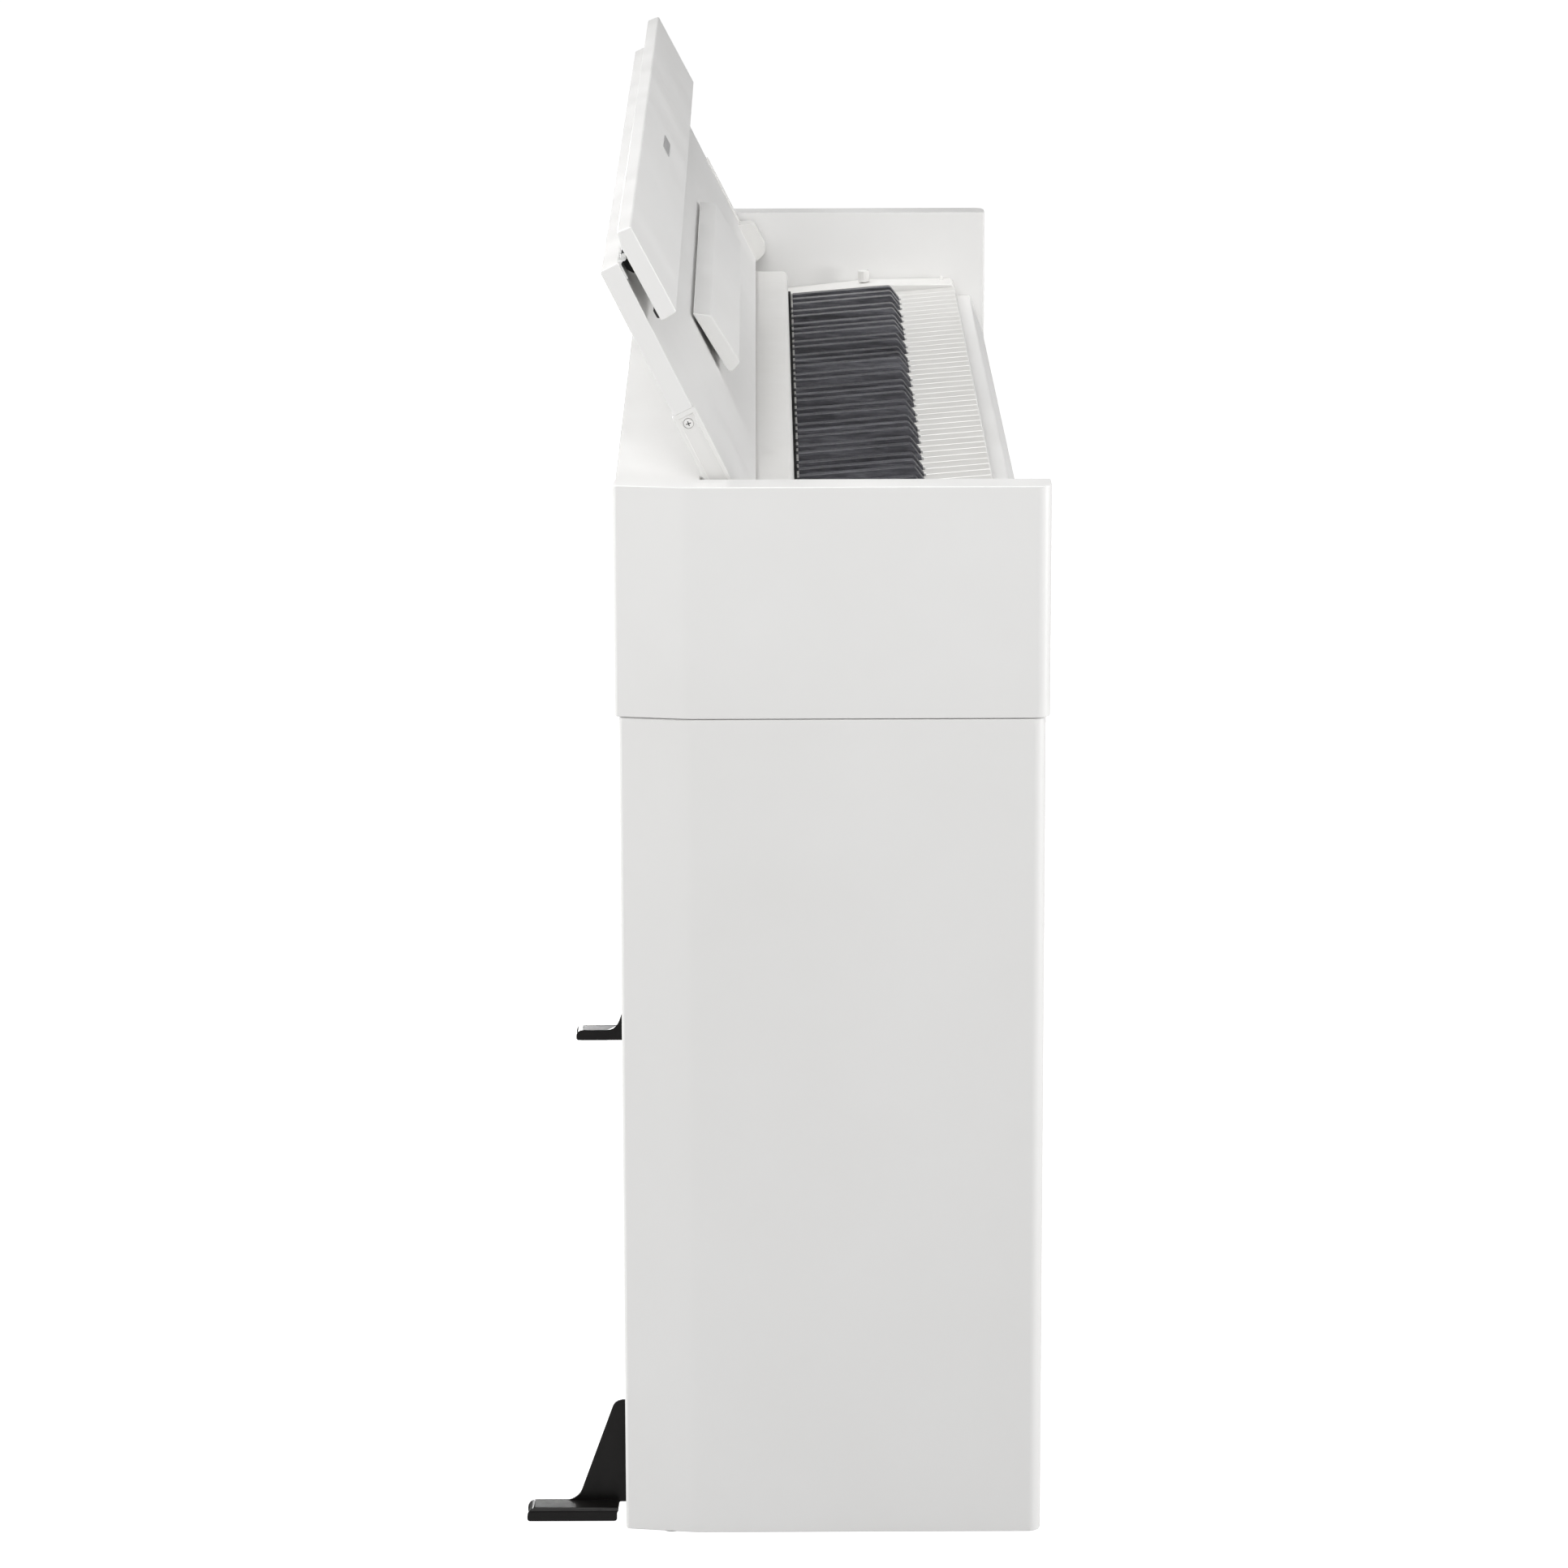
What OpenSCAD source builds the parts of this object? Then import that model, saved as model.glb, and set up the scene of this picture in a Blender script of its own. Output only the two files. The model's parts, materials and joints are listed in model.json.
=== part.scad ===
// Slim upright digital piano on a panel stand, lid open, flap folded against the lid.
// Front faces -Y, treble end is +X, +Z is up. Millimetres.
// Outlines are given as [d, z]: d is the distance behind the front face of the side blocks.

/* [Overall] */
// Width over the two side blocks
body_w = 1361; // [1355:1:1380]
// Height of the side blocks above the floor
body_h = 778; // [770:1:790]
// Depth of the side blocks
side_depth = 309; // [305:1:315]
// Depth from the front face to the tips of the rear brackets
overall_depth = 379; // [372:1:390]

/* [Cabinet] */
// Thickness of the side blocks
block_t = 30; // [26:1:32]
// Underside of the keyboard body
body_bottom_z = 611; // [608:1:614]
// Length of the slanted stretch at the rear of the outer faces
rear_slant = 55; // [40:1:70]
// How far the rear slant goes inward
rear_slant_in = 9; // [4:0.5:12]
// Thickness of the boards
board_t = 15; // [12:0.5:18]
// Height of the top of the strip behind the keys
deck_z = 730; // [728:0.5:731]

/* [Keyboard] */
// Width of one white key with its gap
key_pitch = 23.55; // [23.4:0.01:23.6]
// Gap between neighbouring keys
key_gap = 1.0; // [0.8:0.1:1.2]
// Visible length of the white keys
key_len = 146.5; // [145:0.5:148]
// Length of the wide front of a white key
head_len = 50; // [48:0.5:52]
// Fall of the key tops towards the back, in degrees
key_slope = 4.75; // [4:0.25:5]
// Height of a black key above the white ones
black_h = 12.8; // [12:0.1:13.5]
// Width of a black key at its base
black_w = 11; // [10:0.1:11.2]
// Width of a black key at its top
black_top_w = 9.3; // [8.5:0.1:10]

/* [Lid] */
// Lean of the open lid from the vertical, in degrees
lid_lean = 26.53; // [26:0.01:27]
// Thickness of the lid board
lid_t = 14.5; // [13:0.5:15]
// Length of the lid board from its heel to its free edge
lid_len = 216; // [214:0.5:217]
// Width of the lid
lid_w = 1294; // [1290:1:1296]
// Width of the music rest
rest_w = 594; // [500:1:700]

/* [Pedals] */
// Distance between neighbouring pedals
pedal_pitch = 75; // [65:1:85]
// Width of a pedal at its tip
pedal_w = 24; // [20:1:28]

/* [Hidden] */
$fn = 48;
eps = 0.01;

front_y = -overall_depth / 2;
outer_x = body_w / 2;
inner_x = outer_x - block_t;
painted = [0.94, 0.94, 0.92];
steel = [0.75, 0.76, 0.78];
black_paint = [0.06, 0.055, 0.055];
rubber = [0.10, 0.10, 0.10];

// Stand
panel_inset = 3;
panel_x = [inner_x + 1.5, outer_x - 1.5];
panel_z = [0.6, body_bottom_z - 0.6];
panel_foot_r = 1.5;
stand_back_d = 300;
stand_front_d = 165;
box_z = [20, 112];
box_wall = 14;
pedal_pivot = [215, 70];
pedal_rod_r = 4;
foot_d = 232;
foot_stem_r = 5;
running_gap = 0.05;

// Body
body_floor_z = body_bottom_z + 18;
top_z = 775;
rail_back_d = 26.2;
body_back_d = side_depth - 1;
deck_d = [179.5, 262];
deck_x = 26 * key_pitch + 2;
stop_edge_d = 243.8;

// Keys
keys_front = [28.5, 715.9];
key_pivot = [233, 690];
pivot_rod_r = 2;
keyboard_left = -26 * key_pitch;
sharp_pitch = [3 * key_pitch / 5, 4 * key_pitch / 7];
key_count = 88;
middle_c = 39;
lever_end = 212;

// Lid, in a frame with its origin on the pivot: s runs up the board, f towards the player
lid_pivot = [216, 758.5];
lid_heel_s = -21.6;
lid_face_f = -1.5;
lid_pin_r = 3;
lid_pin_end = 16;
cap_w = 22;
cap_top_s = 79.5;
flap_hinge = [195.7, 3];
flap_pin_r = 1;
knuckle_r = 2.1;
hinge_leaf_s = [181.5, 181.8];
hinge_w = 40;
hinge_x = [-lid_w / 2 + 1 + hinge_w / 2, -lid_w / 4, 0, lid_w / 4, lid_w / 2 - 1 - hinge_w / 2];

// Rear brackets
bracket_x = 634.5;
bracket_t = 2.5;
bracket_foot_w = 21;
foot_top = 11;
foot_front = 313;

// ---------- shared shapes ----------

function unit(v) = v / norm(v);

// Points of the arc of radius r that rounds corner b between a and c
function corner_arc(a, b, c, r, n) =
    let (u = unit(a - b), v = unit(c - b), half = acos(u * v) / 2,
         centre = b + unit(u + v) * r / sin(half),
         p = b + u * r / tan(half) - centre, q = b + v * r / tan(half) - centre,
         start = atan2(p[1], p[0]), turn = atan2(q[1], q[0]) - start,
         sweep = turn > 180 ? turn - 360 : turn < -180 ? turn + 360 : turn)
    [for (i = [0:n]) centre + r * [cos(start + sweep * i / n), sin(start + sweep * i / n)]];

// An outline from corners [x, y, radius], each corner rounded to its radius
function rounded(p, n = 5) = [
    for (i = [0:len(p) - 1])
        let (a = p[(i + len(p) - 1) % len(p)], b = p[i], c = p[(i + 1) % len(p)])
            each b[2] > 0
                ? corner_arc([a[0], a[1]], [b[0], b[1]], [c[0], c[1]], b[2], n)
                : [[b[0], b[1]]]
];

// A box between two X, two d and two z values
module block(x, d, z)
    translate([x[0], front_y + d[0], z[0]]) cube([x[1] - x[0], d[1] - d[0], z[1] - z[0]]);

// A [d, z] outline run along X
module across(x, outline)
    translate([x[0], front_y, 0]) rotate([90, 0, 90]) linear_extrude(x[1] - x[0]) polygon(outline);

// An [x, d] outline run up Z
module upright(z, outline)
    translate([0, front_y, z[0]]) linear_extrude(z[1] - z[0]) polygon(outline);

// An [x, z] outline run back along Y
module fold(d, outline)
    translate([0, front_y + d[1], 0]) rotate([90, 0, 0]) linear_extrude(d[1] - d[0]) polygon(outline);

// A round bar along X, along Y or along Z
module bar_x(x, d, z, r)
    translate([x[0], front_y + d, z]) rotate([0, 90, 0]) cylinder(r = r, h = x[1] - x[0]);
module bar_y(x, d, z, r)
    translate([x, front_y + d[0], z]) rotate([-90, 0, 0]) cylinder(r = r, h = d[1] - d[0]);
module bar_z(x, d, z, r)
    translate([x, front_y + d, z[0]]) cylinder(r = r, h = z[1] - z[0]);

module both_ends() {
    children();
    mirror([1, 0, 0]) children();
}

// The lid's own frame: +Y runs up the board and +Z towards the player
module on_lid() translate([0, front_y + lid_pivot[0], lid_pivot[1]]) rotate([90 - lid_lean, 0, 0]) children();
module lid_profile(x, outline)
    on_lid() translate([x[0], 0, 0]) rotate([90, 0, 90]) linear_extrude(x[1] - x[0]) polygon(outline);
module lid_bar(x, s, f, r)
    on_lid() translate([x[0], s, f]) rotate([0, 90, 0]) cylinder(r = r, h = x[1] - x[0]);

// The keys' own frame: +Y runs back along the key tops
module on_keys() translate([0, front_y + keys_front[0], keys_front[1]]) rotate([-key_slope, 0, 0]) children();

// A pan-head screw along +Z with its head on top of z = 0
module screw(head_r = 3.6, head_h = 1.8, shank = 12) {
    difference() {
        cylinder(r = head_r, h = head_h);
        for (a = [0, 90]) rotate([0, 0, a])
            translate([-head_r * 0.55, -0.45, head_h - 1]) cube([head_r * 1.1, 0.9, 2]);
    }
    translate([0, 0, -shank]) cylinder(r = head_r * 0.42, h = shank + eps);
}

// ---------- cabinet ----------

// Plan of a right-hand side panel between two X and two d values
function side_plan(x, d, front_r) = rounded([
    [x[0], d[0], 1.5], [x[1], d[0], front_r],
    [x[1], d[1] - rear_slant + panel_inset, 60],
    [x[1] - rear_slant_in, d[1], 3], [x[0], d[1], 0]
], 6);

module side_block() {
    difference() {
        upright([body_bottom_z, body_h], side_plan([inner_x, outer_x], [0, side_depth], 10));
        bar_x([inner_x - 1, inner_x + 15], lid_pivot[0], lid_pivot[1], lid_pin_r);
    }
}

module side_panel() {
    d = [panel_inset, side_depth - panel_inset];
    intersection() {
        upright(panel_z, side_plan(panel_x, d, 9));
        across(panel_x, rounded([
            [d[0], panel_z[1], 0], [d[0], panel_z[0], panel_foot_r],
            [d[1], panel_z[0], panel_foot_r], [d[1], panel_z[1], 0]
        ]));
    }
}

module side_block_right() color(painted) side_block();
module side_block_left() color(painted) mirror([1, 0, 0]) side_block();
module side_panel_right() color(painted) side_panel();
module side_panel_left() color(painted) mirror([1, 0, 0]) side_panel();

// Board behind the lid, with a strip in front that the lid leans on
module rear_deck() color(painted) difference() {
    across([-inner_x, inner_x], rounded([
        [stop_edge_d, deck_z, 0], [stop_edge_d, top_z, 1.5], [side_depth, top_z, 2],
        [side_depth, top_z - board_t, 0], [stop_edge_d + 12, top_z - board_t, 0],
        [stop_edge_d + 12, deck_z, 0]
    ]));
    both_ends()
        block([inner_x - 28, inner_x + 1], [stop_edge_d - 1, stop_edge_d + 4], [deck_z - 1, top_z + 1]);
}

jack_x = [-520, -380];
jack_z = [642, 682];
module body_back_panel() color(painted) difference() {
    block([-inner_x, inner_x], [body_back_d - 12, body_back_d], [body_bottom_z, top_z - board_t]);
    block(jack_x, [body_back_d - 13, body_back_d + 1], jack_z);
}

speaker_x = 430;
speaker_d = 150;
speaker_r = 52;
module bottom_board() color(painted) difference() {
    block([-inner_x, inner_x], [rail_back_d, body_back_d - 12], [body_bottom_z, body_floor_z]);
    both_ends() bar_z(speaker_x, speaker_d, [body_bottom_z - 1, body_floor_z + 1], speaker_r);
}

// Rail in front of the keys, with a sloped upper front
module front_rail() color(painted) across([-inner_x, inner_x], rounded([
    [1, body_bottom_z, 1.5], [1, 667, 4], [13, 702, 3],
    [rail_back_d, 702, 1.5], [rail_back_d, body_bottom_z, 0]
]));

button_x = [-602, -566, -538];
button_d = 194;
button_hole_r = 6.5;
module key_deck() color(painted) difference() {
    union() {
        block([-deck_x, deck_x], deck_d, [deck_z - 18, deck_z - 10 + eps]);
        across([-deck_x, deck_x], rounded([
            [deck_d[0], deck_z - 10, 0], [deck_d[0], deck_z, 5],
            [deck_d[1], deck_z, 0], [deck_d[1], deck_z - 10, 0]
        ]));
    }
    for (x = button_x) bar_z(x, button_d, [deck_z - 20, deck_z + 1], button_hole_r + 0.4);
}

knob_d = 110.5;
knob_x = 631;
knob_z = 717.8;
knob_r = 5.2;
knob_h = 10.4;
knob_stem = 14;
cheek_x = [26 * key_pitch + key_gap, inner_x - 0.3];
module cheek() across(cheek_x, rounded([
    [keys_front[0], body_floor_z, 0], [keys_front[0], 718, 4], [knob_d - 6, 717.4, 20],
    [deck_d[0] - 3, 709.8, 6], [deck_d[1], 709.8, 0], [deck_d[1], body_floor_z, 0]
]));
module cheek_blocks() color(painted) {
    difference() {
        cheek();
        bar_z(knob_x, knob_d, [690, 740], 2.4);
    }
    mirror([1, 0, 0]) cheek();
}

// ---------- stand ----------

module back_board() color(painted)
    block([-panel_x[0], panel_x[0]], [stand_back_d - board_t, stand_back_d], [230, body_bottom_z]);

// Hollow rail between the side panels that carries the pedals
module pedal_box() color(painted) {
    rib_x = [pedal_pitch + 28, pedal_pitch + 36];
    difference() {
        union() {
            difference() {
                block([-panel_x[0], panel_x[0]], [stand_front_d, stand_back_d], box_z);
                block([-panel_x[0] + box_wall, panel_x[0] - box_wall],
                      [stand_front_d + box_wall, stand_back_d - box_wall],
                      [box_z[0] + box_wall, box_z[1] - box_wall]);
            }
            both_ends() block(rib_x, [stand_front_d + 1, stand_back_d - 1], [box_z[0] + 1, box_z[1] - 1]);
        }
        for (i = [-1:1])
            block([i * pedal_pitch - 10, i * pedal_pitch + 10],
                  [stand_front_d - 1, stand_front_d + box_wall + 1], [54, 84]);
        bar_x([-rib_x[1] - 1, rib_x[1] + 1], pedal_pivot[0], pedal_pivot[1], pedal_rod_r);
        bar_z(0, foot_d, [box_z[0] - 1, box_z[0] + box_wall + 1], foot_stem_r + running_gap);
    }
}

module pedal_rod() color(steel)
    bar_x([-pedal_pitch - 36, pedal_pitch + 36], pedal_pivot[0], pedal_pivot[1], pedal_rod_r);

// A pedal: a flat bar that widens to a rounded tip
module pedal(x) color(steel) difference() {
    intersection() {
        upright([40, 90], [for (p = rounded([
            [-6.5, 236, 2], [-6.5, 128, 30], [-pedal_w / 2, 92, 30], [-pedal_w / 2, 58, pedal_w / 2 - 1],
            [pedal_w / 2, 58, pedal_w / 2 - 1], [pedal_w / 2, 92, 30], [6.5, 128, 30], [6.5, 236, 2]
        ])) [p[0] + x, p[1]]]);
        across([x - pedal_w, x + pedal_w], rounded([
            [57, 62, 4], [57, 70, 4], [90, 75, 40], [165, 76, 0],
            [236, 76, 2], [236, 63, 2], [165, 66, 30], [92, 66, 40]
        ]));
    }
    bar_x([x - pedal_w, x + pedal_w], pedal_pivot[0], pedal_pivot[1], pedal_rod_r + running_gap);
}
module pedal_soft() pedal(-pedal_pitch);
module pedal_sostenuto() pedal(0);
module pedal_damper() pedal(pedal_pitch);

module adjuster_foot() color(rubber) {
    bar_z(0, foot_d, [0, 9], 19);
    bar_z(0, foot_d, [9 - eps, box_z[0] + box_wall + 8], foot_stem_r);
}

// Glides under the side panels and pads under the bracket feet
module floor_pads() color(rubber) both_ends() {
    for (d = [32, 272]) bar_z((panel_x[0] + panel_x[1]) / 2, d, [0, panel_z[0]], 9);
    block([bracket_x + bracket_t + 1, bracket_x + bracket_foot_w - bracket_t - 1], [350, 375], [0, 8.5]);
}

// Anti-tip bracket: a folded sheet with a gusset, a foot with a turned-down lip and a screwed flange
bracket_outline = [
    [stand_back_d, 88.5, 0], [314, 88.5, 8], [342, foot_top, 12], [overall_depth, foot_top, 6],
    [overall_depth, 1.2, 2], [foot_front, 1.2, 2], [foot_front, 9.6, 3], [stand_back_d, 9.6, 0]
];
module rear_bracket() difference() {
    x = [bracket_x, bracket_x + bracket_t];
    lip_x = [bracket_x + bracket_foot_w - bracket_t, bracket_x + bracket_foot_w];
    d = [stand_back_d, overall_depth + 1];
    intersection() {
        across([bracket_x - 28, lip_x[1]], rounded(bracket_outline));
        union() {
            block(x, d, [0, 95]);
            fold([foot_front - 1, d[1]], rounded([
                [x[0], foot_top - bracket_t, 0], [x[0], foot_top, 0], [lip_x[1], foot_top, 3.2],
                [lip_x[1], 0, 0], [lip_x[0], 0, 0], [lip_x[0], foot_top - bracket_t, 0.7]
            ]));
            block([bracket_x - 28, x[1]], [stand_back_d, stand_back_d + bracket_t], [24, 95]);
        }
    }
    for (z = [38, 74]) bar_y(bracket_x - 14, [stand_back_d - 1, stand_back_d + bracket_t + 1], z, 2.6);
}
module rear_bracket_right() color(black_paint) rear_bracket();
module rear_bracket_left() color(black_paint) mirror([1, 0, 0]) rear_bracket();

module screws() color(steel) {
    both_ends() {
        for (z = [38, 74]) translate([bracket_x - 14, front_y + stand_back_d + bracket_t, z])
            rotate([-90, 0, 0]) screw(4.5, 2.4);
        for (x = [90, 250, 410, 570], z = [body_bottom_z + 9, top_z - board_t - 9])
            translate([x, front_y + body_back_d, z]) rotate([-90, 0, 0]) screw();
        for (x = [120, 560], z = [252, 580])
            translate([x, front_y + stand_back_d, z]) rotate([-90, 0, 0]) screw();
        for (x = [200, 330, 500], d = [60, 270])
            translate([x, front_y + d, body_bottom_z]) rotate([180, 0, 0]) screw();
    }
}

// ---------- lid ----------

// Pins between the side blocks and blind holes in the lid's end caps
module lid_pins() color(steel) both_ends()
    bar_x([lid_w / 2 - lid_pin_end + 1, inner_x + 15], lid_pivot[0], lid_pivot[1], lid_pin_r);

// Rubber strips on the edge that the open lid leans against
module lid_stops() color(rubber) for (x = [-540, -270, 0, 270, 540])
    across([x - 15, x + 15], [[stop_edge_d, 771.8], [241.05, 771.8], [242.5, 774.6], [stop_edge_d, 774.6]]);

module lid_board() color(painted) difference() {
    lid_profile([-lid_w / 2, lid_w / 2], rounded([
        [lid_heel_s, lid_face_f - lid_t, 2], [lid_heel_s, lid_face_f, 2],
        [lid_heel_s + lid_len, lid_face_f, 1.5], [lid_heel_s + lid_len, lid_face_f - lid_t, 1.5]
    ]));
    both_ends() on_lid() translate([lid_w / 2 - cap_w, lid_heel_s - 1, -30])
        cube([cap_w + 1, cap_top_s - lid_heel_s + 1, 60]);
}

// Moulded arms at both ends of the lid: each has a blind pivot hole and a rounded lobe in front.
// Above the lobe, only an outer rim stands in front of the lid's face.
cap_recess = 0.8;
cap_rim = 3.5;
cap_screw = [70.3, -9.2];
cap_screw_r = 3.5;
module lid_end_caps() color(painted) both_ends() difference() {
    lid_profile([lid_w / 2 - cap_w, lid_w / 2], rounded([
        [lid_heel_s, -17.5, 3], [cap_top_s, -17.5, 0.8], [cap_top_s, 0, 0.8], [14, 0, 1.5], [9.5, 11, 6],
        [-19, 11.3, 9], [-22, 0, 4]
    ]));
    lid_bar([lid_w / 2 - lid_pin_end, lid_w / 2 + 1], 0, 0, lid_pin_r + running_gap);
    lid_profile([lid_w / 2 - cap_w - 1, lid_w / 2 - cap_rim],
                [[14, lid_face_f], [cap_top_s + 1, lid_face_f], [cap_top_s + 1, 1], [14, 1]]);
    lid_profile([lid_w / 2 - cap_recess, lid_w / 2 + 1],
                [[14, -14.5], [cap_top_s - 3.5, -14.5], [cap_top_s - 3.5, -3], [14, -3]]);
    lid_bar([lid_w / 2 - 2 * cap_recess, lid_w / 2], cap_screw[0], cap_screw[1], cap_screw_r + 0.25);
}

module lid_screws() color(steel) both_ends() on_lid()
    translate([lid_w / 2 - 2 * cap_recess, cap_screw[0], cap_screw[1]]) rotate([0, 90, 0])
        screw(cap_screw_r, 1.4, 10);

// Knuckle of a hinge around the flap's pin, between two X values
module knuckle(x) lid_bar(x, flap_hinge[0], flap_hinge[1], knuckle_r);

// A leaf on the lid with two knuckles, and the pin riveted into them
module hinge_lid_leaf(x) {
    ends = [x - hinge_w / 2, x + hinge_w / 2];
    leaf_top_s = flap_hinge[0] - knuckle_r - 0.4;
    lid_profile(ends, [
        [hinge_leaf_s[0], lid_face_f], [hinge_leaf_s[0], -0.3], [leaf_top_s, -0.3], [leaf_top_s, lid_face_f]
    ]);
    difference() {
        for (ear = [[ends[0], x - 10], [x + 10, ends[1]]]) {
            knuckle(ear);
            lid_profile(ear, [
                [leaf_top_s - 0.6, lid_face_f], [leaf_top_s - 0.6, -0.3],
                [flap_hinge[0] - 1.5, 2], [flap_hinge[0], lid_face_f]
            ]);
        }
        for (end = ends) lid_bar([end - 0.7, end + 0.7], flap_hinge[0], flap_hinge[1], flap_pin_r + 0.6);
    }
    lid_bar(ends, flap_hinge[0], flap_hinge[1], flap_pin_r);
}
module hinge_lid_leaves() color(steel) for (x = hinge_x) hinge_lid_leaf(x);

// Front flap, folded against the inner face of the lid
flap_outline = [[144.1, 6.8, 1.5], [145.2, 19.4, 1.5], [213.4, 17.9, 1.5], [214.3, 7.3, 1.5], [204, 5.2, 2]];
module flap_board() color(painted) difference() {
    lid_profile([-lid_w / 2, lid_w / 2], rounded(flap_outline));
    for (x = hinge_x)
        lid_bar([x - hinge_w / 2 - 1, x + hinge_w / 2 + 1], flap_hinge[0], flap_hinge[1], knuckle_r + 0.6);
}

module hinge_flap_leaves() color([0.16, 0.16, 0.17]) for (x = hinge_x) {
    w = 9.5;
    difference() {
        union() {
            knuckle([x - w, x + w]);
            lid_profile([x - w, x + w], [
                [hinge_leaf_s[1], 5.75], [hinge_leaf_s[1], 3.8], [hinge_leaf_s[1] + 4.2, 0.7],
                [flap_hinge[0] - 2, 0.7], [flap_hinge[0], 1.2], [flap_hinge[0], 4.8]
            ]);
        }
        lid_bar([x - w - 1, x + w + 1], flap_hinge[0], flap_hinge[1], flap_pin_r + running_gap);
    }
}

// Thin pads under the flap's free edge
module flap_bumpers() color(rubber) for (x = [-lid_w / 2 + 8, -210, 210, lid_w / 2 - 8])
    lid_profile([x - 7, x + 7], [[146.2, 6.7], [147.2, 5], [153, 4.8], [154.2, 6.5]]);

// Plain plate in the middle of the flap
module badge() color([0.6, 0.6, 0.6]) on_lid()
    translate([0, 179, 18.663]) rotate([-1.26, 0, 0]) translate([-35, -4.5, 0]) cube([70, 9, 0.6]);

// Ledge that sheet music stands on
rest_outline = [[90.7, 0.2, 0.8], [82.2, 12, 2], [40.4, 15.9, 3], [36.1, 4.5, 3]];
module music_rest() color(painted) lid_profile([-rest_w / 2, rest_w / 2], rounded(rest_outline));

module music_rest_spacers() color(painted) for (x = [-220, 0, 220])
    lid_profile([x - 12, x + 12], [[46, lid_face_f], [84, lid_face_f], [84, 0.7], [46, 3.7]]);

// ---------- keys ----------

// A key is counted in semitones from the lowest one, n = 0
function pitch_class(n) = (n + 9) % 12;
function octave_left(n) = keyboard_left + (7 * floor((n + 9) / 12) - 5) * key_pitch;
function is_black(n) = len(search(pitch_class(n), [1, 3, 6, 8, 10])) > 0;
function whites_before(n) = len([for (i = [0:11]) if (i < pitch_class(n) && !is_black(i + 3)) i]);
// Left edge of the lane that the rear of key n runs in
function lane_left(n) = octave_left(n)
    + (pitch_class(n) < 5 ? pitch_class(n) * sharp_pitch[0]
                          : 3 * key_pitch + (pitch_class(n) - 5) * sharp_pitch[1]);
function lane_width(n) = pitch_class(n) < 5 ? sharp_pitch[0] : sharp_pitch[1];
function white_left(n) = octave_left(n) + whites_before(n) * key_pitch;

module lever(x, s, depth) translate([x[0], s[0], -depth]) cube([x[1] - x[0], s[1] - s[0], depth]);

module white_key(n) {
    head = [white_left(n) + key_gap / 2, white_left(n) + key_pitch - key_gap / 2];
    tail = [n == 0 ? head[0] : lane_left(n) + key_gap / 2,
            n == key_count - 1 ? head[1] : lane_left(n) + lane_width(n) - key_gap / 2];
    lever(head, [0, head_len], 20);
    lever(tail, [head_len - eps, lever_end], 16);
}

// A black key: slanted front, sides that lean in towards the top, and a narrow lever below
module black_key(n) {
    x = lane_left(n) + lane_width(n) / 2;
    front = head_len + 1.2;
    intersection() {
        translate([x - black_w / 2, 0, 0]) rotate([90, 0, 90]) linear_extrude(black_w)
            polygon(rounded([
                [front, -3, 0], [front, 1, 1], [front + 7.5, black_h, 3.5],
                [key_len, black_h, 0.8], [key_len, -3, 0]
            ], 4));
        translate([x, key_len + 1, 0]) rotate([90, 0, 0]) linear_extrude(key_len)
            polygon([[-black_w / 2, -3], [black_w / 2, -3], [black_w / 2, 0], [black_top_w / 2, black_h],
                     [-black_top_w / 2, black_h], [-black_w / 2, 0]]);
    }
    lever([x - black_w / 2 + 0.4, x + black_w / 2 - 0.4], [front + 2, lever_end], 16);
}

module key(n) difference() {
    on_keys() {
        if (is_black(n)) black_key(n);
        else white_key(n);
    }
    bar_x([lane_left(n) - key_pitch, lane_left(n) + 2 * key_pitch], key_pivot[0], key_pivot[1],
          pivot_rod_r + running_gap);
}

ivory = [0.95, 0.95, 0.93];
ebony = [0.14, 0.15, 0.16];
module octave_key(step) color(is_black(middle_c + step) ? ebony : ivory) key(middle_c + step);
module key_c() octave_key(0);
module key_c_sharp() octave_key(1);
module key_d() octave_key(2);
module key_d_sharp() octave_key(3);
module key_e() octave_key(4);
module key_f() octave_key(5);
module key_f_sharp() octave_key(6);
module key_g() octave_key(7);
module key_g_sharp() octave_key(8);
module key_a() octave_key(9);
module key_a_sharp() octave_key(10);
module key_b() octave_key(11);

// Every other key, below and above the middle octave
other_keys = [for (n = [0:key_count - 1]) if (n < middle_c || n > middle_c + 11) n];
module white_keys() color(ivory) for (n = other_keys) if (!is_black(n)) key(n);
module black_keys() color(ebony) for (n = other_keys) if (is_black(n)) key(n);

// Folded steel frame under the keys, with ears that hold the pivot rod
module key_chassis() color([0.55, 0.56, 0.58]) {
    across([-26 * key_pitch - 0.3, 26 * key_pitch + 0.3], [
        [32, body_floor_z], [32, 676], [52, 676], [52, 664], [244, 664], [244, deck_z - 18],
        [247, deck_z - 18], [247, body_floor_z], [244, body_floor_z], [244, 661], [50, 661], [50, 673],
        [35, 673], [35, body_floor_z]
    ]);
    both_ends() difference() {
        block([26 * key_pitch - 0.3, 26 * key_pitch + 0.8], [key_pivot[0] - 8, 245], [663, 702]);
        bar_x([26 * key_pitch - 1, 26 * key_pitch + 5], key_pivot[0], key_pivot[1], pivot_rod_r);
    }
}

module key_pivot_rod() color(steel)
    bar_x([-26 * key_pitch - 0.8, 26 * key_pitch + 0.8], key_pivot[0], key_pivot[1], pivot_rod_r);

// Black felt behind the keys and the soft strip that a pressed key lands on
module key_felts() color([0.03, 0.03, 0.03]) {
    block([-26 * key_pitch, 26 * key_pitch], [deck_d[0] - 2.6, deck_d[0]], [704.4, deck_z - 18]);
    block([-26 * key_pitch, 26 * key_pitch], [34, 50], [676, 684]);
}

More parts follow.
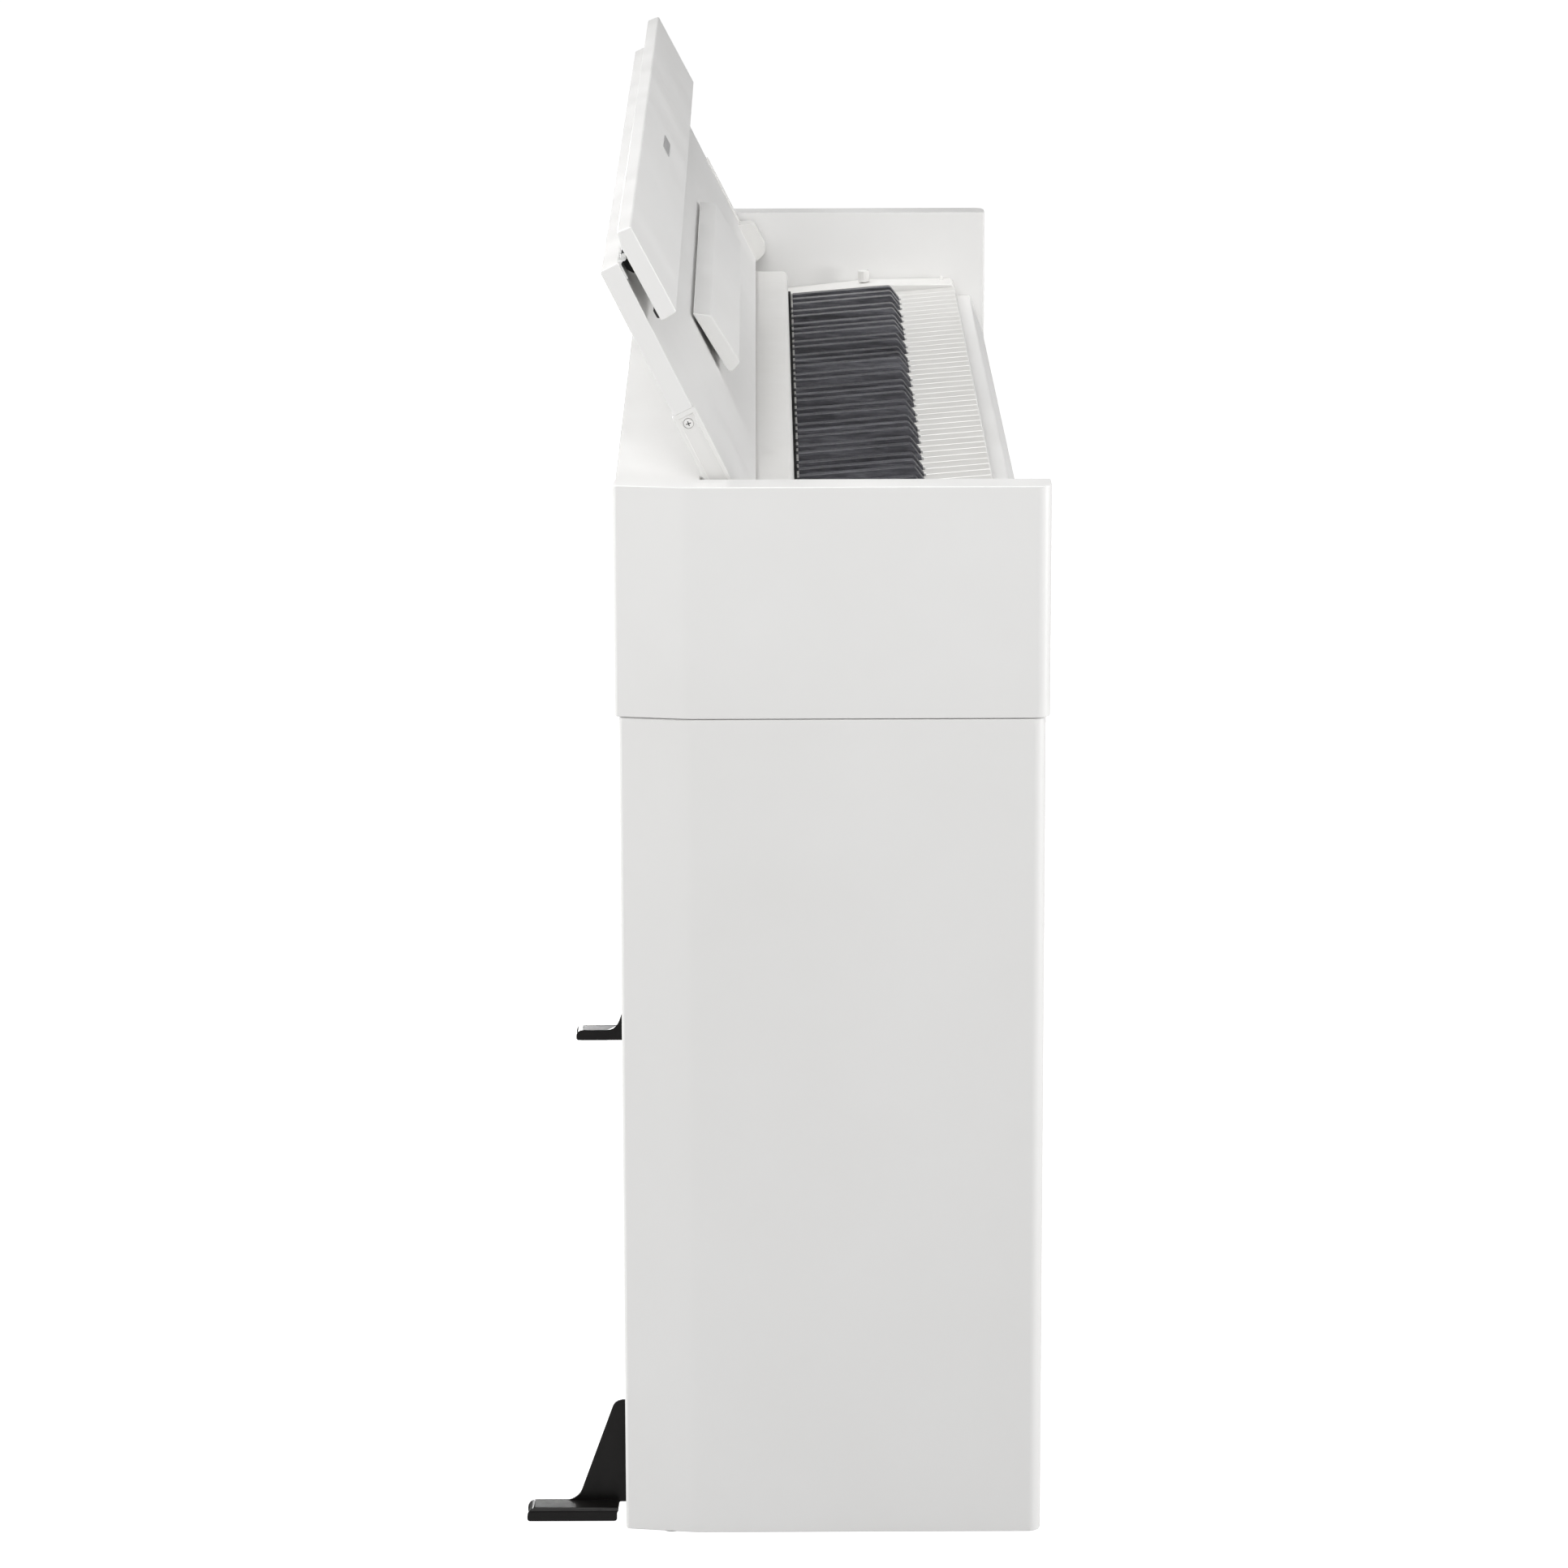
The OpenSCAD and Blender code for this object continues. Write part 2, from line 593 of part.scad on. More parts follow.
// Long circuit board with one rubber dome under each key
module contact_board() color([0.1, 0.35, 0.2]) {
    block([-26 * key_pitch, 26 * key_pitch], [100, 150], [676, 678]);
    block([-26 * key_pitch, 26 * key_pitch], [146, 150], [664, 676 + eps]);
    for (n = [0:key_count - 1]) bar_z(lane_left(n) + lane_width(n) / 2, 125, [678 - eps, 686], 4.5);
}

module main_board() color([0.1, 0.35, 0.2]) {
    block([-560, -330], [255, 290], [636, 638]);
    block([-470, -440], [262, 284], [638 - eps, 641]);
    block([-420, -395], [262, 284], [638 - eps, 640.5]);
    for (x = [-540, -520, -500, -370]) bar_z(x, 270, [638 - eps, 652], 5);
}

// Plate with the power inlet and two data sockets, set into the back of the body
module jack_panel() color(rubber) difference() {
    block([jack_x[0] + 0.4, jack_x[1] - 0.4], [body_back_d - 9, body_back_d - 5],
          [jack_z[0] + 0.4, jack_z[1] - 0.4]);
    bar_y(-500, [body_back_d - 10, body_back_d], 662, 3.2);
    block([-468, -456], [body_back_d - 10, body_back_d], [657, 668]);
    block([-428, -414], [body_back_d - 10, body_back_d], [658.5, 665]);
}

module speaker() {
    basket = [
        [60, 0], [60, 2.5], [50, 2.5], [34, 16], [30, 16], [30, 28], [0, 28], [0, 14], [26, 14], [47, 0]
    ];
    cone = [[46, 0.6], [20, 11], [0, 6], [0, 5], [19, 9.4], [44, -0.6]];
    translate([speaker_x, front_y + speaker_d, body_floor_z]) {
        rotate_extrude() polygon(basket);
        rotate_extrude() polygon([for (p = cone) [p[0], p[1] - 0.2]]);
    }
}
module speakers() color([0.12, 0.12, 0.12]) both_ends() speaker();

// Slotted discs under the speakers
module speaker_grilles() color(rubber) both_ends() difference() {
    bar_z(speaker_x, speaker_d, [body_bottom_z - 3, body_bottom_z], speaker_r + 7);
    for (i = [-4:4]) {
        half = sqrt(pow(speaker_r - 3, 2) - pow(i * 11, 2));
        block([speaker_x - half, speaker_x + half], [speaker_d + i * 11 - 2.5, speaker_d + i * 11 + 2.5],
              [body_bottom_z - 4, body_bottom_z + 1]);
    }
}

jack_r = 3.2;
module headphone_box() color(rubber) difference() {
    block([-600, -530], [40, 100], [body_bottom_z - 26, body_bottom_z]);
    for (x = [-580, -550]) bar_y(x, [39, 70], body_bottom_z - 13, jack_r);
}

// ---------- controls ----------

module volume_knob() color(painted) {
    bar_z(knob_x, knob_d, [knob_z, knob_z + knob_h], knob_r);
    bar_z(knob_x, knob_d, [knob_z - knob_stem, knob_z + eps], 2.3);
}

module button(i, cap_z) color(painted) {
    bar_z(button_x[i], button_d, [deck_z - 12, cap_z], button_hole_r);
}
module power_button() button(0, deck_z + 2.5);
module function_button() button(1, deck_z + 2.5);
module metronome_button() button(2, deck_z + 2.5);

side_block_left();
side_block_right();
side_panel_left();
side_panel_right();
rear_deck();
body_back_panel();
bottom_board();
front_rail();
key_deck();
cheek_blocks();
back_board();
pedal_box();
floor_pads();
adjuster_foot();
rear_bracket_left();
rear_bracket_right();
lid_pins();
lid_stops();
screws();
lid_board();
lid_end_caps();
lid_screws();
hinge_lid_leaves();
flap_board();
hinge_flap_leaves();
flap_bumpers();
badge();
music_rest();
music_rest_spacers();
key_c();
key_c_sharp();
key_d();
key_d_sharp();
key_e();
key_f();
key_f_sharp();
key_g();
key_g_sharp();
key_a();
key_a_sharp();
key_b();
white_keys();
black_keys();
key_chassis();
key_pivot_rod();
key_felts();
contact_board();
main_board();
jack_panel();
speakers();
speaker_grilles();
headphone_box();
volume_knob();
power_button();
function_button();
metronome_button();
pedal_soft();
pedal_sostenuto();
pedal_damper();
pedal_rod();
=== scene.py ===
"""Looks of a slim white digital piano on its stand: lid open, flap folded against the lid."""

import json
import math

import bmesh
import bpy
from mathutils import Matrix, Vector


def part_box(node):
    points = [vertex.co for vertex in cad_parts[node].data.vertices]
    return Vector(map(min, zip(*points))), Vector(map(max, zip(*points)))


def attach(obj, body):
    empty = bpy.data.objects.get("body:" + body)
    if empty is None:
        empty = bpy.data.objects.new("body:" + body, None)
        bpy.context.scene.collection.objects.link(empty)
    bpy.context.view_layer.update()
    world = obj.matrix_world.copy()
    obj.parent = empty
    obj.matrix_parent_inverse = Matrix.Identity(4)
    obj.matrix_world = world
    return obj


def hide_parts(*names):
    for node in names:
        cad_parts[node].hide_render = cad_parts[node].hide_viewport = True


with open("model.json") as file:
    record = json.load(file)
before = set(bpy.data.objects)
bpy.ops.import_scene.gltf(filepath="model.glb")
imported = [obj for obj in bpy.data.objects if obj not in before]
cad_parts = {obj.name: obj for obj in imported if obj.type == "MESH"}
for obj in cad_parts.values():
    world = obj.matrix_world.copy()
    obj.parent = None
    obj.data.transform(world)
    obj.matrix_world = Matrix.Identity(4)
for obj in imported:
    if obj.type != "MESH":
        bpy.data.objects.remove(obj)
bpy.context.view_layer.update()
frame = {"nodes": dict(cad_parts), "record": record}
NODES = frame["nodes"]
MM = 0.001

# ---------------------------------------------------------------- camera

CAMERA_AT = (-4.966, 0.0164, 1.595)
CAMERA_PITCH = 13.53
CAMERA_TURN = -0.225
CAMERA_ROLL = 0.15
LENS = 142.6
SENSOR = 36.0


def make_camera():
    data = bpy.data.cameras.new("camera")
    data.lens = LENS
    data.sensor_width = SENSOR
    data.clip_end = 100
    camera = bpy.data.objects.new("camera", data)
    bpy.context.scene.collection.objects.link(camera)
    look = Matrix.Rotation(math.radians(CAMERA_TURN - 90), 4, "Z")
    tilt = Matrix.Rotation(math.radians(90 - CAMERA_PITCH), 4, "X")
    roll = Matrix.Rotation(math.radians(-CAMERA_ROLL), 4, "Z")
    camera.matrix_world = Matrix.Translation(CAMERA_AT) @ look @ tilt @ roll
    bpy.context.scene.camera = camera


make_camera()

# ---------------------------------------------------------------- materials


class Surface:
    """A node material built around one Principled shader, in the row frame's metres."""

    def __init__(self, name, color, roughness, metallic=0.0):
        self.material = bpy.data.materials.new(name)
        self.material.use_nodes = True
        self.tree = self.material.node_tree
        self.shader = self.tree.nodes["Principled BSDF"]
        self.shader.inputs["Base Color"].default_value = (*color, 1)
        self.shader.inputs["Roughness"].default_value = roughness
        self.shader.inputs["Metallic"].default_value = metallic
        self.place = self.add("ShaderNodeTexCoord").outputs["Object"]

    def add(self, kind, **settings):
        node = self.tree.nodes.new(kind)
        for key, value in settings.items():
            setattr(node, key, value)
        return node

    def link(self, source, target):
        self.tree.links.new(source, target)

    def set(self, **values):
        for key, value in values.items():
            self.shader.inputs[key.replace("_", " ")].default_value = value
        return self

    def stretched(self, scale):
        """The place, stretched by a factor along each axis."""
        node = self.add("ShaderNodeMapping")
        node.inputs["Scale"].default_value = scale
        self.link(self.place, node.inputs["Vector"])
        return node.outputs["Vector"]

    def noise(self, scale, detail=3.0, stretch=(1, 1, 1), rough=0.55):
        node = self.add("ShaderNodeTexNoise")
        node.inputs["Scale"].default_value = scale
        node.inputs["Detail"].default_value = detail
        node.inputs["Roughness"].default_value = rough
        self.link(self.stretched(stretch), node.inputs["Vector"])
        return node.outputs["Fac"]

    def ramp(self, source, stops):
        node = self.add("ShaderNodeValToRGB")
        elements = node.color_ramp.elements
        while len(elements) < len(stops):
            elements.new(0.5)
        for element, (position, color) in zip(elements, stops):
            element.position = position
            element.color = (*color, 1)
        self.link(source, node.inputs["Fac"])
        return node.outputs["Color"]

    def span(self, source, low, high, start=0.3, end=0.7):
        """Maps a noise value to the range low to high."""
        node = self.add("ShaderNodeMapRange")
        node.inputs["From Min"].default_value = start
        node.inputs["From Max"].default_value = end
        node.inputs["To Min"].default_value = low
        node.inputs["To Max"].default_value = high
        self.link(source, node.inputs["Value"])
        return node.outputs["Result"]

    def blend(self, first, second, share):
        """A mix of two values, with this share of the second."""
        node = self.add("ShaderNodeMix", data_type="FLOAT")
        node.inputs["Factor"].default_value = share
        self.link(first, node.inputs["A"])
        self.link(second, node.inputs["B"])
        return node.outputs["Result"]

    def color(self, source, stops):
        self.link(self.ramp(source, stops), self.shader.inputs["Base Color"])
        return self

    def roughness(self, source, low, high):
        self.link(self.span(source, low, high), self.shader.inputs["Roughness"])
        return self

    def bump(self, *layers):
        """Each layer is (height source, distance in metres)."""
        normal = None
        for source, distance in layers:
            node = self.add("ShaderNodeBump")
            node.inputs["Strength"].default_value = 1.0
            node.inputs["Distance"].default_value = distance
            self.link(source, node.inputs["Height"])
            if normal is not None:
                self.link(normal, node.inputs["Normal"])
            normal = node.outputs["Normal"]
        self.link(normal, self.shader.inputs["Normal"])
        return self


def grey(value, warmth=0.0):
    return (value, value * (1 - 0.3 * warmth), value * (1 - warmth))


def white_lacquer():
    """Satin white lacquer on board, with a faint orange peel."""
    s = Surface("white_lacquer", grey(0.77), 0.36)
    s.color(s.noise(3.5, 4), [(0.3, grey(0.755, 0.022)), (0.7, grey(0.79, 0.014))])
    s.roughness(s.noise(14, 4), 0.30, 0.42)
    return s.bump((s.noise(520, 2), 0.000018), (s.noise(60, 2), 0.000012)).material


def white_plastic():
    """Moulded white plastic with a fine grain."""
    s = Surface("white_plastic", grey(0.76), 0.42)
    s.color(s.noise(6, 4), [(0.3, grey(0.745, 0.035)), (0.7, grey(0.775, 0.025))])
    s.roughness(s.noise(35, 3), 0.36, 0.48)
    return s.bump((s.noise(1700, 2), 0.000012)).material


def ivory():
    """Key tops in dull imitation ivory with a lengthwise grain, painted darker than the glossy white sides:
    painted shade on the faces that point up, painted light on the sides.
    """
    s = Surface("ivory", grey(0.66), 0.36)
    grain = s.noise(180, 5, (1, 0.16, 1))
    # The grain is the keys' own; the darker level of the top colour is painted shade
    top = s.ramp(grain, [(0.3, grey(0.63, 0.05)), (0.7, grey(0.68, 0.04))])
    # Faces that point up get the darker top colour as painted shade; the other faces get a brighter white
    # as painted light
    facing = s.add("ShaderNodeSeparateXYZ")
    s.link(s.add("ShaderNodeTexCoord").outputs["Normal"], facing.inputs["Vector"])
    shaded_top_share = s.span(facing.outputs["Z"], 0.0, 1.0, 0.86, 0.985)
    mix = s.add("ShaderNodeMix", data_type="RGBA")
    mix.inputs["A"].default_value = (*grey(0.88, 0.02), 1)
    s.link(shaded_top_share, mix.inputs["Factor"])
    s.link(top, mix.inputs["B"])
    s.link(mix.outputs["Result"], s.shader.inputs["Base Color"])
    s.roughness(s.noise(60, 4), 0.28, 0.42)
    return s.bump((grain, 0.000012)).material


def ebony():
    """Black key tops with a dry, lengthwise wood grain."""
    s = Surface("ebony", grey(0.04), 0.5)
    grain = s.noise(620, 6, (1, 0.09, 1), 0.75)
    streaks = s.noise(140, 3, (1, 0.05, 1), 0.6)
    mottle = s.noise(900, 2, (1, 0.5, 1))
    s.color(s.blend(grain, streaks, 0.45),
            [(0.36, (0.018, 0.018, 0.021)), (0.5, (0.058, 0.058, 0.067)), (0.64, (0.130, 0.131, 0.146))])
    s.roughness(mottle, 0.28, 0.44)
    return s.bump((grain, 0.00005), (mottle, 0.00002)).material


def powder_coat():
    """Near-black satin paint on sheet metal."""
    s = Surface("powder_coat", grey(0.005), 0.36)
    s.color(s.noise(40, 4), [(0.3, (0.0030, 0.0025, 0.0024)), (0.7, (0.0050, 0.0043, 0.0040))])
    s.roughness(s.noise(90, 3), 0.30, 0.42)
    s.set(Specular_IOR_Level=0.24)
    return s.bump((s.noise(1500, 3), 0.00004)).material


def zinc():
    """Bright zinc plate, lightly brushed."""
    s = Surface("zinc", (0.86, 0.86, 0.85), 0.45, 1.0)
    brush = s.noise(300, 4, (0.08, 1, 1))
    s.color(s.noise(45, 4), [(0.3, (0.80, 0.80, 0.79)), (0.7, (0.90, 0.90, 0.89))])
    s.roughness(brush, 0.38, 0.55)
    return s.bump((brush, 0.000006)).material


def nickel():
    """Polished nickel with faint handling marks."""
    s = Surface("nickel", (0.78, 0.76, 0.72), 0.16, 1.0)
    s.roughness(s.noise(25, 5), 0.10, 0.26)
    return s.bump((s.noise(220, 3, (1, 0.2, 1)), 0.000004)).material


def rubber():
    """Matte black rubber."""
    s = Surface("rubber", grey(0.02), 0.8)
    s.color(s.noise(80, 3), [(0.3, grey(0.016)), (0.7, grey(0.03))])
    s.roughness(s.noise(200, 3), 0.7, 0.9)
    return s.bump((s.noise(1400, 3), 0.00005)).material


def black_plastic():
    """Moulded black plastic with a spark-eroded texture."""
    s = Surface("black_plastic", grey(0.022), 0.5)
    s.color(s.noise(30, 3), [(0.3, grey(0.018)), (0.7, grey(0.03))])
    s.roughness(s.noise(120, 3), 0.42, 0.6)
    return s.bump((s.noise(1100, 2), 0.00004)).material


def felt():
    """Black wool felt with short fibres."""
    s = Surface("felt", grey(0.004), 0.95)
    fibres = s.noise(2200, 5, (1, 0.4, 1), 0.8)
    s.color(fibres, [(0.35, grey(0.002)), (0.7, grey(0.009))])
    s.set(Sheen_Weight=0.06, Sheen_Roughness=0.5, Specular_IOR_Level=0.2)
    return s.bump((fibres, 0.0002)).material


def circuit_board():
    """Green solder mask over a grid of tracks."""
    s = Surface("circuit_board", (0.02, 0.12, 0.05), 0.35)
    tracks = s.add("ShaderNodeTexBrick", offset=0.5)
    tracks.inputs["Scale"].default_value = 60
    tracks.inputs["Mortar Size"].default_value = 0.02
    tracks.inputs["Color1"].default_value = (0.012, 0.10, 0.04, 1)
    tracks.inputs["Color2"].default_value = (0.015, 0.13, 0.05, 1)
    tracks.inputs["Mortar"].default_value = (0.06, 0.28, 0.12, 1)
    s.link(s.place, tracks.inputs["Vector"])
    s.link(tracks.outputs["Color"], s.shader.inputs["Base Color"])
    return s.material


def badge_metal():
    """Satin grey metal, brushed along the piano."""
    s = Surface("badge_metal", grey(0.52), 0.4, 0.5)
    brush = s.noise(900, 3, (0.04, 1, 1))
    s.color(brush, [(0.3, grey(0.44)), (0.7, grey(0.60))])
    s.roughness(brush, 0.3, 0.5)
    return s.material


MATERIALS = {
    "white_lacquer_wood": white_lacquer(),
    "white_plastic": white_plastic(),
    "ivory_plastic": ivory(),
    "ebony_plastic": ebony(),
    "black_sheet_metal": powder_coat(),
    "steel": zinc(),
    "chrome": nickel(),
    "rubber": rubber(),
    "black_plastic": black_plastic(),
    "felt": felt(),
    "circuit_board": circuit_board(),
    "grey_badge": badge_metal(),
}
SLOT_OF = {row["node"]: row["material_slot"] for row in frame["record"]["subparts"]}

# ---------------------------------------------------------------- CAD nodes

# How far each node's sharp edges are rounded, in millimetres
EDGE = {
    "side_block_left": 1.0, "side_block_right": 1.0,
    "side_panel_left": 1.0, "side_panel_right": 1.0,
    "rear_deck": 1.0, "body_back_panel": 0.8, "bottom_board": 0.8, "front_rail": 1.0,
    "key_deck": 0.8, "cheek_blocks": 1.0, "back_board": 0.8, "pedal_box": 1.0,
    "lid_board": 0.5, "lid_end_caps": 0.3, "flap_board": 1.0, "badge": 0.25,
    "music_rest": 0.8, "music_rest_spacers": 0.5,
    "rear_bracket_left": 0.35, "rear_bracket_right": 0.35,
    "white_keys": 1.0, "black_keys": 0.4, "floor_pads": 0.6, "adjuster_foot": 1.0,
    "headphone_box": 1.2, "jack_panel": 0.4, "speaker_grilles": 0.4,
    "hinge_lid_leaves": 0.12, "hinge_flap_leaves": 0.12, "flap_bumpers": 0.6, "lid_stops": 0.3,
}
DEFAULT_EDGE = 0.3
# Nodes whose narrow rims need sharp corners where their rounded edges meet
SHARP_MITERS = ("lid_board", "lid_end_caps")
OCTAVE = [n for n in NODES if n.startswith("key_") and n not in
          ("key_deck", "key_chassis", "key_pivot_rod", "key_felts")]
for name in OCTAVE:
    EDGE[name] = EDGE["black_keys"] if "sharp" in name else EDGE["white_keys"]


def soften(obj, width, segments=3, angle=35, miter="MITER_ARC"):
    """Rounds the sharp edges with modifiers, so the mesh itself stays as it is."""
    weld = obj.modifiers.new("weld", "WELD")
    weld.merge_threshold = 0.00002
    flat = obj.modifiers.new("flat", "DECIMATE")
    flat.decimate_type = "DISSOLVE"
    flat.angle_limit = math.radians(0.3)
    bevel = obj.modifiers.new("bevel", "BEVEL")
    bevel.width = width
    bevel.segments = segments
    bevel.limit_method = "ANGLE"
    bevel.angle_limit = math.radians(angle)
    bevel.use_clamp_overlap = False
    bevel.miter_outer = miter
    normals = obj.modifiers.new("normals", "WEIGHTED_NORMAL")
    normals.keep_sharp = True
    obj.data.polygons.foreach_set("use_smooth", [True] * len(obj.data.polygons))


def dress_cad_nodes():
    for name, obj in NODES.items():
        obj.data.materials.clear()
        obj.data.materials.append(MATERIALS[SLOT_OF[name]])
        soften(obj, EDGE.get(name, DEFAULT_EDGE) * MM,
               miter="MITER_SHARP" if name in SHARP_MITERS else "MITER_ARC")


dress_cad_nodes()

# ---------------------------------------------------------------- turned and moulded pieces

CABINET = "cabinet"
UP = Matrix.Identity(3)
TOWARDS_PLAYER = Matrix.Rotation(math.radians(90), 3, "X")
TOWARDS_WALL = Matrix.Rotation(math.radians(-90), 3, "X")


def loft(bm, rings, loop=False):
    """Joins rings of points into a solid; loop joins the last ring to the first instead of capping."""
    rows = [[bm.verts.new(point) for point in ring] for ring in rings]
    count = len(rows[0])
    for row, following in zip(rows, rows[1:] + rows[:1] if loop else rows[1:]):
        for i in range(count):
            j = (i + 1) % count
            bm.faces.new((row[i], row[j], following[j], following[i]))
    if not loop:
        bm.faces.new(rows[0])
        bm.faces.new(rows[-1])


def ring(at, turn, radius, height, sides=64, flutes=0, depth=0.0):
    """A circle of points, in millimetres, with its edge waved by flutes."""
    points = []
    for i in range(sides):
        a = 2 * math.pi * i / sides
        r = (radius - depth * (0.5 - 0.5 * math.cos(flutes * a))) * MM
        points.append(Vector(at) + turn @ Vector((r * math.cos(a), r * math.sin(a), height * MM)))
    return points


def turned(bm, at, turn, profile, loop=False, sides=64, flutes=0):
    """Profile rows are (radius, height) or (radius, height, depth of the flutes)."""
    loft(bm, [ring(at, turn, row[0], row[1], sides, flutes, row[2] if len(row) > 2 else 0.0)
              for row in profile], loop)


def rounded_rectangle(centre, half_x, half_z, radius, y, steps=6):
    """Points in millimetres round centre, in the plane across y, given in metres."""
    points = []
    for quarter, (sx, sz) in enumerate(((1, 1), (-1, 1), (-1, -1), (1, -1))):
        for i in range(steps + 1):
            a = math.radians(90 * (quarter + i / steps))
            points.append(Vector((centre[0] + (sx * (half_x - radius) + radius * math.cos(a)) * MM, y,
                                  centre[1] + (sz * (half_z - radius) + radius * math.sin(a)) * MM)))
    return points


def make_piece(name, bm, slot, body, instead_of=None):
    """Turns the mesh into a piece that rides on a body, and may stand in for a CAD node."""
    bmesh.ops.recalc_face_normals(bm, faces=bm.faces)
    mesh = bpy.data.meshes.new(name)
    bm.to_mesh(mesh)
    bm.free()
    piece = bpy.data.objects.new(name, mesh)
    bpy.context.scene.collection.objects.link(piece)
    mesh.materials.append(MATERIALS[slot])
    mesh.polygons.foreach_set("use_smooth", [True] * len(mesh.polygons))
    piece.modifiers.new("normals", "WEIGHTED_NORMAL")
    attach(piece, body)
    if instead_of:
        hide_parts(instead_of)
    return piece


def centre_of(node):
    low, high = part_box(node)
    return (low.x + high.x) / 2, (low.y + high.y) / 2


KNOB_HEAD = 10.4


def volume_knob():
    """A fluted cap on a stem, with a pointer let into its top."""
    low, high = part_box("volume_knob")
    x, y = centre_of("volume_knob")
    tall = (high.z - low.z) / MM
    skirt = tall - KNOB_HEAD
    r = (high.x - low.x) / 2 / MM
    bm = bmesh.new()
    turned(bm, (x, y, low.z), UP, [
        (1.0, 0.0), (2.0, 0.1), (2.3, 0.5), (2.3, skirt), (r - 0.5, skirt), (r - 0.15, skirt + 0.3),
        (r - 0.05, skirt + 0.7), (r - 0.05, skirt + 1.3), (r - 0.15, skirt + 1.5, 0.15),
        (r - 0.15, skirt + 1.9, 0.3), (r - 0.2, tall - 1.3, 0.3), (r - 0.35, tall - 0.8, 0.2),
        (r - 0.65, tall - 0.45), (r - 1.1, tall - 0.2), (r - 1.8, tall - 0.05), (2.5, tall),
        (0.4, tall)], sides=168, flutes=28)
    make_piece("volume_knob_cap", bm, "white_plastic", "volume_knob", "volume_knob")
    bm = bmesh.new()
    outline = [(0.42, 1.2), (0.42, 3.9), (0.25, 4.2), (0.0, 4.3), (-0.25, 4.2), (-0.42, 3.9),
               (-0.42, 1.2), (-0.25, 0.9), (0.0, 0.8), (0.25, 0.9)]
    loft(bm, [[Vector((x + u * k * MM, y - v * MM, high.z + z * MM)) for u, v in outline]
              for k, z in ((1, -0.4), (1, -0.02), (0.7, 0.0))])
    make_piece("volume_pointer", bm, "black_plastic", "volume_knob")


BUTTON_PROUD = 2.5


def deck_buttons():
    """Dished caps, each in a ring that stands a little proud of the deck."""
    rings = bmesh.new()
    for node in ("power_button", "function_button", "metronome_button"):
        low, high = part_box(node)
        at = (*centre_of(node), low.z)
        r = (high.x - low.x) / 2 / MM
        tall = (high.z - low.z) / MM
        bm = bmesh.new()
        turned(bm, at, UP, [
            (r - 1.2, 0.0), (r - 0.4, 0.1), (r, 0.5), (r, tall - 0.9), (r - 0.1, tall - 0.5),
            (r - 0.35, tall - 0.2), (r - 0.75, tall - 0.03), (r - 1.1, tall), (r - 1.5, tall - 0.06),
            (r - 2.4, tall - 0.24), (r - 3.8, tall - 0.42), (r - 5.2, tall - 0.5), (0.3, tall - 0.52)])
        make_piece(node + "_cap", bm, "white_plastic", node, node)
        deck = tall - BUTTON_PROUD
        turned(rings, at, UP, [
            (r + 0.35, deck - 0.3), (r + 0.35, deck + 0.3), (r + 0.6, deck + 0.5), (r + 1.3, deck + 0.5),
            (r + 1.7, deck + 0.25), (r + 1.8, deck - 0.3)], loop=True)
    make_piece("button_rings", rings, "white_plastic", CABINET)


def curve(x, points):
    """A smooth value at x between (place, value) points."""
    for (x0, v0), (x1, v1) in zip(points, points[1:]):
        if x <= x1:
            t = (x - x0) / (x1 - x0)
            return v0 + (v1 - v0) * t * t * (3 - 2 * t)
    return points[-1][1]


PEDAL_LENGTH = 179
PEDAL_TIP = 12
PEDAL_WIDTH = ((0, 12), (35, 12), (72, 6.4), (PEDAL_LENGTH, 6.4))
PEDAL_TOP = ((0, 71.5), (30, 74.8), (108, 75.9), (PEDAL_LENGTH, 75.9))
PEDAL_BOTTOM = ((0, 62.6), (36, 66.0), (108, 66.0), (PEDAL_LENGTH, 63.2))
PEDAL_BORE = (158, 70, 4.05)


